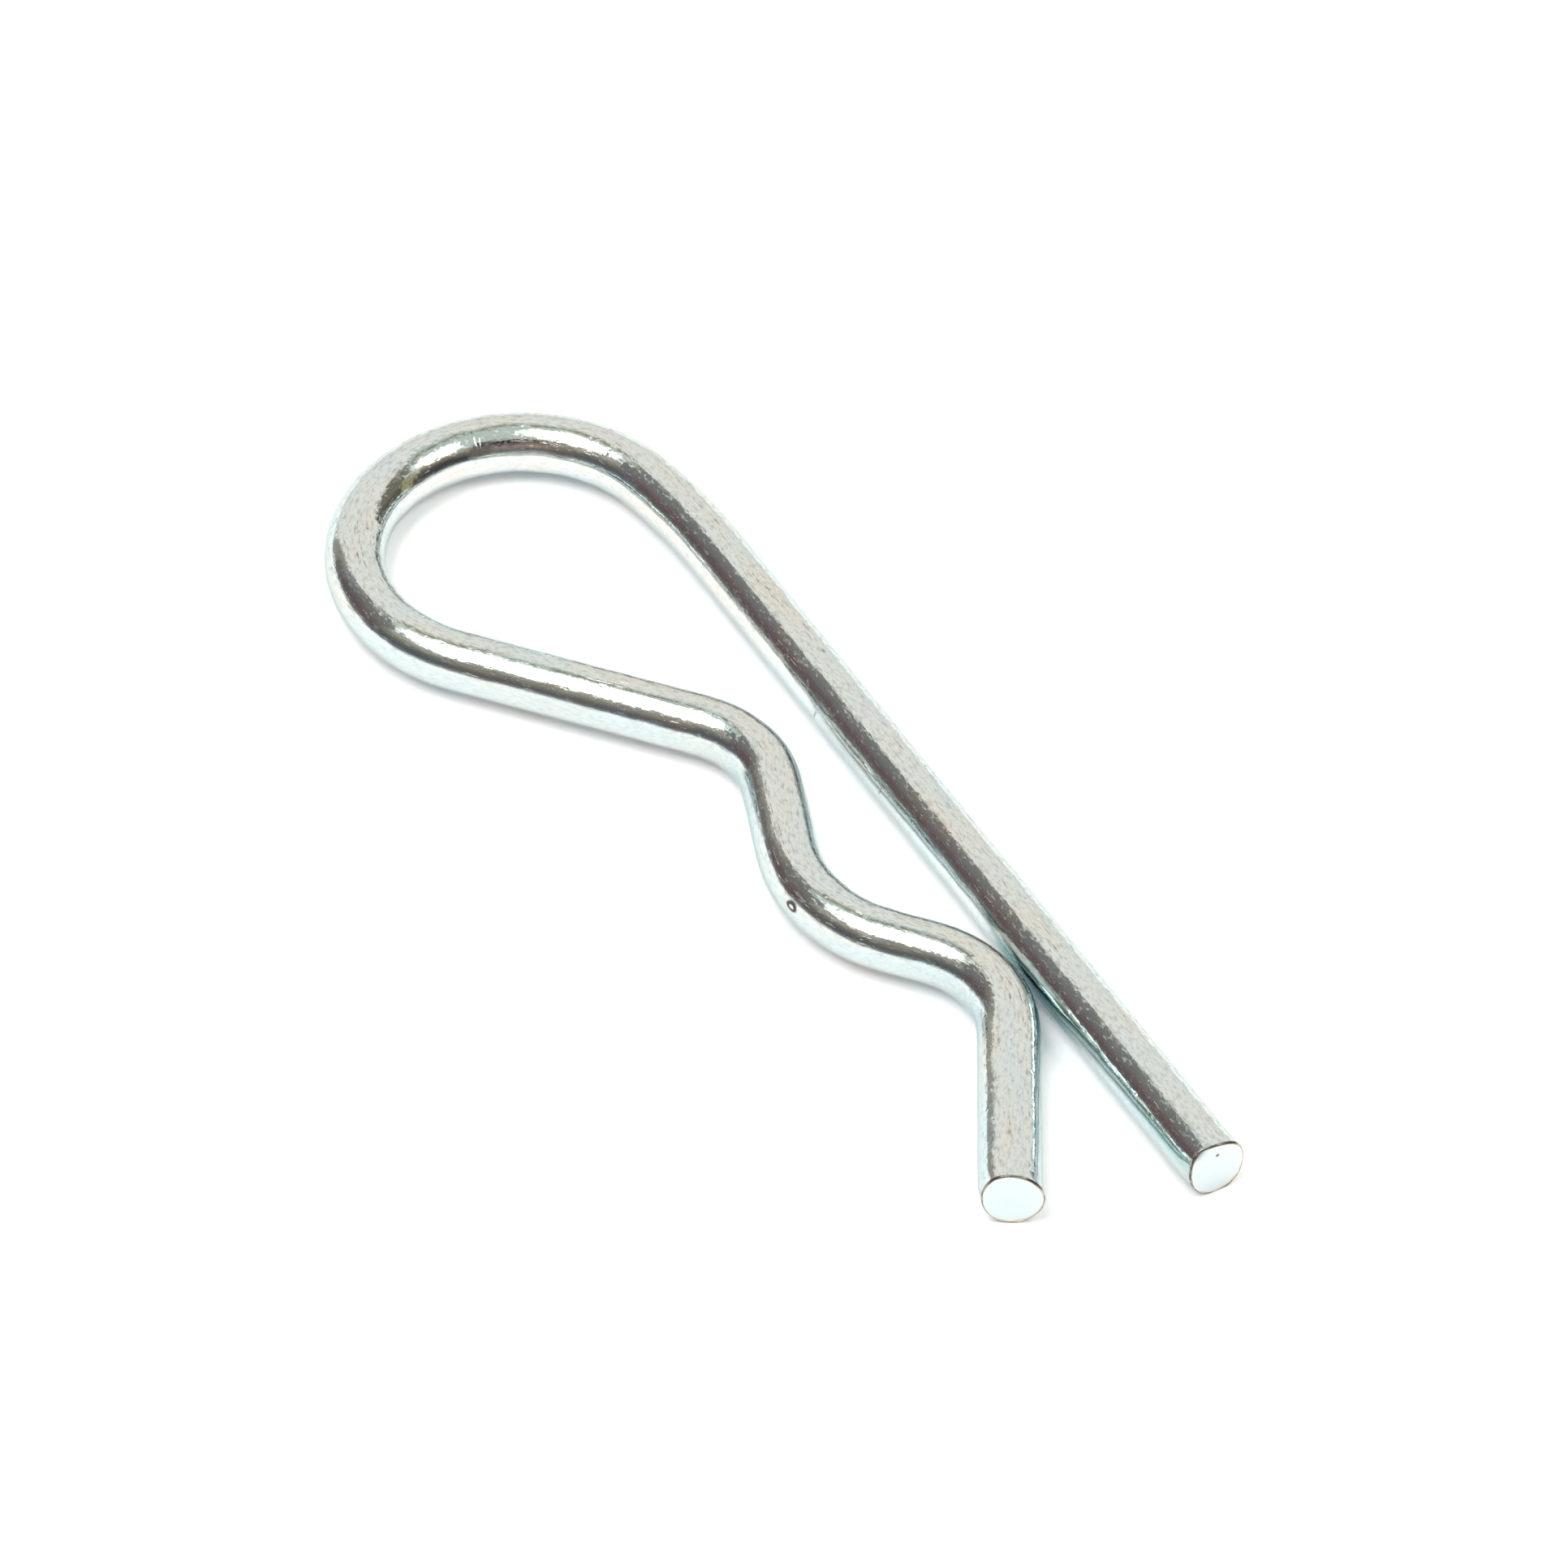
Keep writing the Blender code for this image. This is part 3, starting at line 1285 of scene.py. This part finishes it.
            layer.data.foreach_set("value", np.append(shade.ravel(), [0, 0]).astype(np.float32))
        on_face = np.repeat(flags[:-1] & flags[1:], sides)
        slots = np.concatenate([on_face, np.ones(2 * sides, bool)]).astype(np.int32)
        mesh.polygons.foreach_set("material_index", slots)
        mesh.polygons.foreach_set("use_smooth", np.ones(len(slots), bool))
        mesh.validate()
        mesh.update()
        return placed("fine_wire", mesh)

    def dress(self, piece: bpy.types.Object) -> None:
        """Puts the plate on the wire and on its cropped faces."""
        piece.data.materials.append(BrightZincPlate().made())
        piece.data.materials.append(PlatedShearFace().made())


@dataclass(frozen=True)
class MattWhiteTable:
    """Matt white board, the table under the pin.

    It has one linear colour for the light that it gives back, one in mirrors and one for
    the camera. Those over 1 make it show white without more light on the pin. In mirrors
    a faint glow lightens its shadow.
    """

    name: str = "white_table"
    lit: tuple[float, ...] = (0.96, 0.96, 0.97, 1.0)
    mirrored: tuple[float, ...] = (1.27, 1.21, 1.22, 1.0)
    seen: tuple[float, ...] = (1.31, 1.34, 1.38, 1.0)
    glow: str = "#EEF2FA"
    glow_strength: float = 0.14

    def made(self) -> bpy.types.Material:
        """Builds the finish.

        Returns:
            The material.
        """
        material, tree = new_tree(self.name)
        from_camera, mirrored = background_rays(tree)
        lit = add_node(
            tree,
            "ShaderNodeMix",
            {"data_type": "RGBA"},
            {FACTOR: mirrored, FIRST: self.lit, SECOND: self.mirrored},
        )
        shade = add_node(
            tree,
            "ShaderNodeMix",
            {"data_type": "RGBA"},
            {FACTOR: from_camera, FIRST: lit.outputs[MIXED], SECOND: self.seen},
        )
        bounced = add_node(
            tree,
            "ShaderNodeMath",
            {"operation": "MULTIPLY"},
            {0: mirrored, 1: self.glow_strength},
        )
        glow = add_node(
            tree,
            "ShaderNodeEmission",
            None,
            {"Color": linear(self.glow), "Strength": bounced.outputs[0]},
        )
        matt = add_node(tree, "ShaderNodeBsdfDiffuse", None, {"Color": shade.outputs[MIXED]})
        surface = add_node(
            tree,
            "ShaderNodeAddShader",
            None,
            {0: matt.outputs["BSDF"], 1: glow.outputs["Emission"]},
        )
        add_node(tree, "ShaderNodeOutputMaterial", None, {"Surface": surface.outputs["Shader"]})
        return material


@dataclass(frozen=True)
class LitCard:
    """Painted card under a lamp, which gives back an even glow or one that changes upwards."""

    name: str
    shades: Shades
    strength: float = 1.24

    def made(self) -> bpy.types.Material:
        """Builds the finish.

        Returns:
            The material.
        """
        material, tree = new_tree(self.name)
        colour: Socket | tuple[float, ...] = linear(self.shades[0][1])
        if len(self.shades) > 1:
            rise = add_node(tree, "ShaderNodeAttribute", {"attribute_name": RISE})
            graded = add_node(tree, "ShaderNodeValToRGB", None, {"Fac": rise.outputs["Fac"]})
            stops = [(elevation / ZENITH, shade) for elevation, shade in self.shades]
            grade(graded.color_ramp, stops)
            colour = graded.outputs["Color"]
        light = add_node(
            tree, "ShaderNodeEmission", None, {"Color": colour, "Strength": self.strength}
        )
        add_node(
            tree, "ShaderNodeOutputMaterial", None, {"Surface": light.outputs["Emission"]}
        )
        return material


@dataclass(frozen=True)
class Card:
    """A studio surface that the wire mirrors.

    Its azimuths are clockwise from straight ahead of the camera, seen from above, and
    its elevations are above the floor, all in degrees. Its sides slant from the low pair
    of azimuths to the high pair. Each shade has the elevation at which it shows.
    """

    name: str
    low: tuple[float, float]
    high: tuple[float, float]
    elevations: tuple[float, float]
    shades: Shades
    distance: float = 3.1


@dataclass(frozen=True)
class Bar:
    """A straight level bar across the studio, its ends in metres either way from its middle."""

    name: str
    azimuth: float
    elevation: float
    ends: tuple[float, float]
    half_height: float
    colour: str
    distance: float = 2.9


@dataclass(frozen=True)
class Softbox:
    """An oval lamp that faces the pin, its long way leaning by an angle from level."""

    name: str
    azimuth: float
    elevation: float
    half_length: float
    half_width: float
    lean: float
    radiance: float
    distance: float = 2.6


@dataclass
class Studio:
    """The white table, the two softboxes and the surfaces round them.

    Ahead is the level direction in which the camera looks. A card is bent in steps of
    about card_step degrees.
    """

    ahead: Vector
    table_radius: float = 2.9
    table_sides: int = 96
    world_colour: str = "#FFFFFF"
    world_light: float = 0.6
    card_step: float = 4.0
    cards: tuple[Card, ...] = (
        Card("grey_ceiling", (-180, 180), (-180, 180), (0, 90), ((0, "#BFC4BA"),), 3.3),
        Card("pale_backdrop", (-45, 54), (-42, 53), (-3, 58), ((0, "#EAE4DC"),)),
        Card(
            "left_flat",
            (-92, -44.5),
            (-92, -42.5),
            (-3, 54),
            (
                (1, "#8C8E8C"),
                (8, "#726F6D"),
                (15, "#645354"),
                (27, "#6A5A5A"),
                (36, "#746C69"),
                (50, "#797774"),
            ),
        ),
        Card(
            "left_wing",
            (-138, -92),
            (-138, -92),
            (-3, 54),
            (
                (1, "#90959A"),
                (8, "#74767A"),
                (15, "#5C575A"),
                (24, "#65625E"),
                (33, "#807B72"),
                (42, "#A8A294"),
            ),
        ),
        Card(
            "left_wall",
            (-160, -138),
            (-160, -138),
            (-3, 54),
            (
                (1, "#90959A"),
                (8, "#7A7A7C"),
                (15, "#625B5A"),
                (24, "#746B64"),
                (34, "#90857A"),
                (46, "#978C7E"),
            ),
        ),
        Card(
            "rear_wall",
            (-181, -160),
            (-181, -160),
            (-3, 54),
            (
                (1, "#D4D8D8"),
                (6, "#9E9F9F"),
                (10, "#7E7C7C"),
                (16, "#5E5655"),
                (24, "#98887F"),
                (33, "#968780"),
                (42, "#665A52"),
                (50, "#4C443E"),
            ),
        ),
        Card(
            "left_pleat",
            (-60, -51),
            (-60, -51),
            (-3, 54),
            (
                (1, "#8C8E8C"),
                (8, "#7C7976"),
                (15, "#726865"),
                (24, "#7A6F6A"),
                (32, "#7E7772"),
                (42, "#7A7774"),
            ),
            3.09,
        ),
        Card(
            "left_fold",
            (-51, -43.5),
            (-51, -42),
            (-3, 54),
            (
                (1, "#9A9A92"),
                (13, "#9A948A"),
                (24, "#8C867A"),
                (34, "#98938A"),
                (48, "#7E7B76"),
            ),
            3.08,
        ),
        Card("table_sweep", (-181, -50), (-181, -50), (-3, 4), ((0, "#E3E6E4"),), 3.05),
        Card(
            "right_flat",
            (54, 82),
            (51.5, 82),
            (-3, 57),
            (
                (1, "#8C9088"),
                (6, "#5E5D58"),
                (16, "#56524D"),
                (24, "#766F61"),
                (40, "#706E62"),
                (56, "#7E7C72"),
            ),
        ),
        Card("right_edge", (82, 97), (82, 97), (-3, 36), ((0, "#A09A78"),), 3.05),
        Card(
            "right_gap",
            (97, 143),
            (97, 143),
            (-3, 45),
            (
                (1, "#5C5A60"),
                (8, "#443E45"),
                (18, "#4A4344"),
                (28, "#736C5E"),
                (38, "#A8A08A"),
            ),
        ),
        Card(
            "rear_flat",
            (143, 160),
            (143, 160),
            (3, 56),
            (
                (4, "#86847C"),
                (12, "#6A615A"),
                (24, "#726660"),
                (36, "#6E635C"),
                (50, "#645B59"),
            ),
        ),
        Card(
            "rear_wing",
            (160, 180),
            (160, 180),
            (-3, 56),
            (
                (1, "#D2D6D0"),
                (6, "#AAAAA4"),
                (11, "#88847E"),
                (16, "#6C6460"),
                (24, "#92827B"),
                (32, "#988684"),
                (40, "#5A4E52"),
                (50, "#2A2424"),
            ),
        ),
    )
    bar: Bar = Bar("backdrop_bar", 8, 68.5, (-2.6, 2.4), 0.15, "#88846E")
    lamps: tuple[Softbox, ...] = (
        Softbox("left_softbox", -110.8, 68.0, 19.4, 16.6, -45.0, 4.6),
        Softbox("right_softbox", 106.0, 53.0, 15.0, 12.4, 45.0, 3.6),
    )

    def direction(self, azimuth: np.ndarray, elevation: np.ndarray) -> np.ndarray:
        """The unit vectors of these azimuths and elevations.

        They are the cosine of the elevation times (the cosine of the azimuth ahead plus
        its sine to the right), plus the sine of the elevation straight up.

        Args:
            azimuth: clockwise from straight ahead of the camera, in radians.
            elevation: above the floor, in radians.

        Returns:
            The vectors, their axes last.
        """
        ahead = np.array([self.ahead.x, self.ahead.y, 0.0])
        right = np.array([self.ahead.y, -self.ahead.x, 0.0])
        level = np.cos(azimuth)[..., None] * ahead + np.sin(azimuth)[..., None] * right
        up = np.array([0.0, 0.0, 1.0])
        return np.cos(elevation)[..., None] * level + np.sin(elevation)[..., None] * up

    def put_up(
        self, name: str, places: np.ndarray, faces: np.ndarray, shades: Shades
    ) -> None:
        """Makes a glowing studio surface that the camera itself doesn't see.

        Args:
            name: the name of the surface and of its material.
            places: its points.
            faces: its faces, by the numbers of their points.
            shades: colours, each with the elevation at which it shows.
        """
        mesh = bpy.data.meshes.new(name)
        mesh.from_pydata(places, [], faces.tolist())
        rise = np.degrees(np.arcsin(places[:, 2] / np.linalg.norm(places, axis=1))) / ZENITH
        layer = mesh.attributes.new(RISE, "FLOAT", "POINT")
        layer.data.foreach_set("value", rise.astype(np.float32))
        mesh.materials.append(LitCard(name, shades).made())
        hung = placed(name, mesh)
        hung.visible_camera = False

    def hang(self, card: Card) -> None:
        """Bends a card round the pin.

        A point at shares u and v across and up the card has azimuth and elevation that
        run evenly between the card's edges, and lies at the card's distance.

        Args:
            card: what is hung.
        """
        columns = max(2, int((card.high[1] - card.low[0]) / self.card_step))
        rows = max(2, int((card.elevations[1] - card.elevations[0]) / self.card_step))
        across = np.linspace(0, 1, columns + 1)[None, :]
        upward = np.linspace(0, 1, rows + 1)[:, None]
        left = card.low[0] + (card.high[0] - card.low[0]) * upward
        right = card.low[1] + (card.high[1] - card.low[1]) * upward
        azimuth = np.radians(left + (right - left) * across)
        elevation = np.radians(
            card.elevations[0] + (card.elevations[1] - card.elevations[0]) * upward
        )
        elevation = np.broadcast_to(elevation, azimuth.shape)
        places = (self.direction(azimuth, elevation) * card.distance).reshape(-1, 3)
        index = np.arange(len(places)).reshape(rows + 1, columns + 1)
        quads = np.stack(
            [index[:-1, :-1], index[1:, :-1], index[1:, 1:], index[:-1, 1:]], axis=-1
        ).reshape(-1, 4)
        self.put_up(card.name, places, quads, card.shades)

    def span(self, bar: Bar) -> None:
        """Runs a bar level across: its middle plus a share of its length and of its height.

        Args:
            bar: what is put up.
        """
        azimuth, elevation = math.radians(bar.azimuth), math.radians(bar.elevation)
        middle = self.direction(np.array(azimuth), np.array(elevation))
        sideways = self.direction(np.array(azimuth + math.pi / 2), np.array(0.0))
        upward = np.cross(sideways, middle)
        across = np.array([bar.ends[0], bar.ends[1], bar.ends[1], bar.ends[0]])[:, None]
        along = np.array([-1.0, -1.0, 1.0, 1.0])[:, None] * bar.half_height
        places = middle * bar.distance + across * sideways + along * upward
        self.put_up(bar.name, places, np.array([[0, 1, 2, 3]]), ((0.0, bar.colour),))

    def light(self, lamp: Softbox) -> None:
        """Hangs a softbox and turns it to the pin.

        An oval lamp gives radiance times pi times its area in watts.

        Args:
            lamp: what is hung.
        """
        data = bpy.data.lights.new(lamp.name, "AREA")
        data.shape = "ELLIPSE"
        data.size = 2 * lamp.distance * math.tan(math.radians(lamp.half_length))
        data.size_y = 2 * lamp.distance * math.tan(math.radians(lamp.half_width))
        data.energy = lamp.radiance * math.pi * math.pi * data.size * data.size_y / 4
        towards = self.direction(
            np.array(math.radians(lamp.azimuth)), np.array(math.radians(lamp.elevation))
        )
        hung = placed(lamp.name, data)
        hung.location = Vector(towards) * lamp.distance
        leaning = Quaternion((0.0, 0.0, 1.0), math.radians(lamp.lean))
        faced = Vector(towards).to_track_quat("Z", "Y") @ leaning
        hung.rotation_euler = faced.to_euler()
        hung.visible_camera = False

    def lay_table(self) -> None:
        """Lays the white table, a flat disc under the pin."""
        turn = np.linspace(0, 2 * math.pi, self.table_sides, endpoint=False)
        rim = np.stack([np.cos(turn), np.sin(turn), np.zeros_like(turn)], axis=-1)
        mesh = bpy.data.meshes.new("white_table")
        mesh.from_pydata(rim * self.table_radius, [], [list(range(self.table_sides))])
        mesh.materials.append(MattWhiteTable().made())
        placed("white_table", mesh)

    def fill_world(self) -> None:
        """Sets the world: white to the camera and to mirrors, plain grey as light."""
        world = bpy.data.worlds.new("studio_world")
        world.use_nodes = True
        tree = world.node_tree
        tree.nodes.clear()
        from_camera, mirrored = background_rays(tree)
        shown = add_node(
            tree, "ShaderNodeMath", {"operation": "MAXIMUM"}, {0: from_camera, 1: mirrored}
        )
        strength = add_node(
            tree,
            "ShaderNodeMapRange",
            None,
            {"Value": shown.outputs[0], "To Min": self.world_light, "To Max": 1.0},
        )
        light = add_node(
            tree,
            "ShaderNodeBackground",
            None,
            {"Color": linear(self.world_colour), "Strength": strength.outputs["Result"]},
        )
        add_node(
            tree, "ShaderNodeOutputWorld", None, {"Surface": light.outputs["Background"]}
        )
        bpy.context.scene.world = world

    def set_up(self) -> None:
        """Lays, hangs and lights everything."""
        self.lay_table()
        for card in self.cards:
            self.hang(card)
        self.span(self.bar)
        for lamp in self.lamps:
            self.light(lamp)
        self.fill_world()


@dataclass(frozen=True)
class PortraitCamera:
    """A long lens that looks down at the pin from 45 degrees."""

    place: Vector = Vector((256.62 * MM, -141.91 * MM, 296.98 * MM))
    aim: Vector = Vector((-2.081 * MM, 3.973 * MM, 0.0))
    lens: float = 201.76
    sensor: float = 36.0
    nearest: float = 10 * MM
    farthest: float = 20.0

    def ahead(self) -> Vector:
        """The level direction in which the camera looks.

        Returns:
            The unit vector.
        """
        level = self.aim - self.place
        level.z = 0.0
        return level.normalized()

    def set_up(self) -> None:
        """Makes the camera the scene's own."""
        data = bpy.data.cameras.new("portrait_camera")
        data.lens = self.lens
        data.sensor_width = self.sensor
        data.clip_start = self.nearest
        data.clip_end = self.farthest
        camera = placed("portrait_camera", data)
        camera.location = self.place
        camera.rotation_euler = (self.aim - self.place).to_track_quat("-Z", "Y").to_euler()
        bpy.context.scene.camera = camera


def main() -> None:
    """Builds the pin, its studio and its camera."""
    logging.basicConfig(level=logging.INFO, format="%(message)s")
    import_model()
    bpy.context.scene.view_settings.view_transform = "Standard"

    wire = HairpinWire()
    piece = wire.built(*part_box(CAD_NODE))
    wire.dress(piece)
    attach(piece, BODY)
    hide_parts(CAD_NODE)
    LOG.info("%s: %d faces", piece.name, len(piece.data.polygons))

    camera = PortraitCamera()
    camera.set_up()
    Studio(camera.ahead()).set_up()


if __name__ == "__main__":
    main()
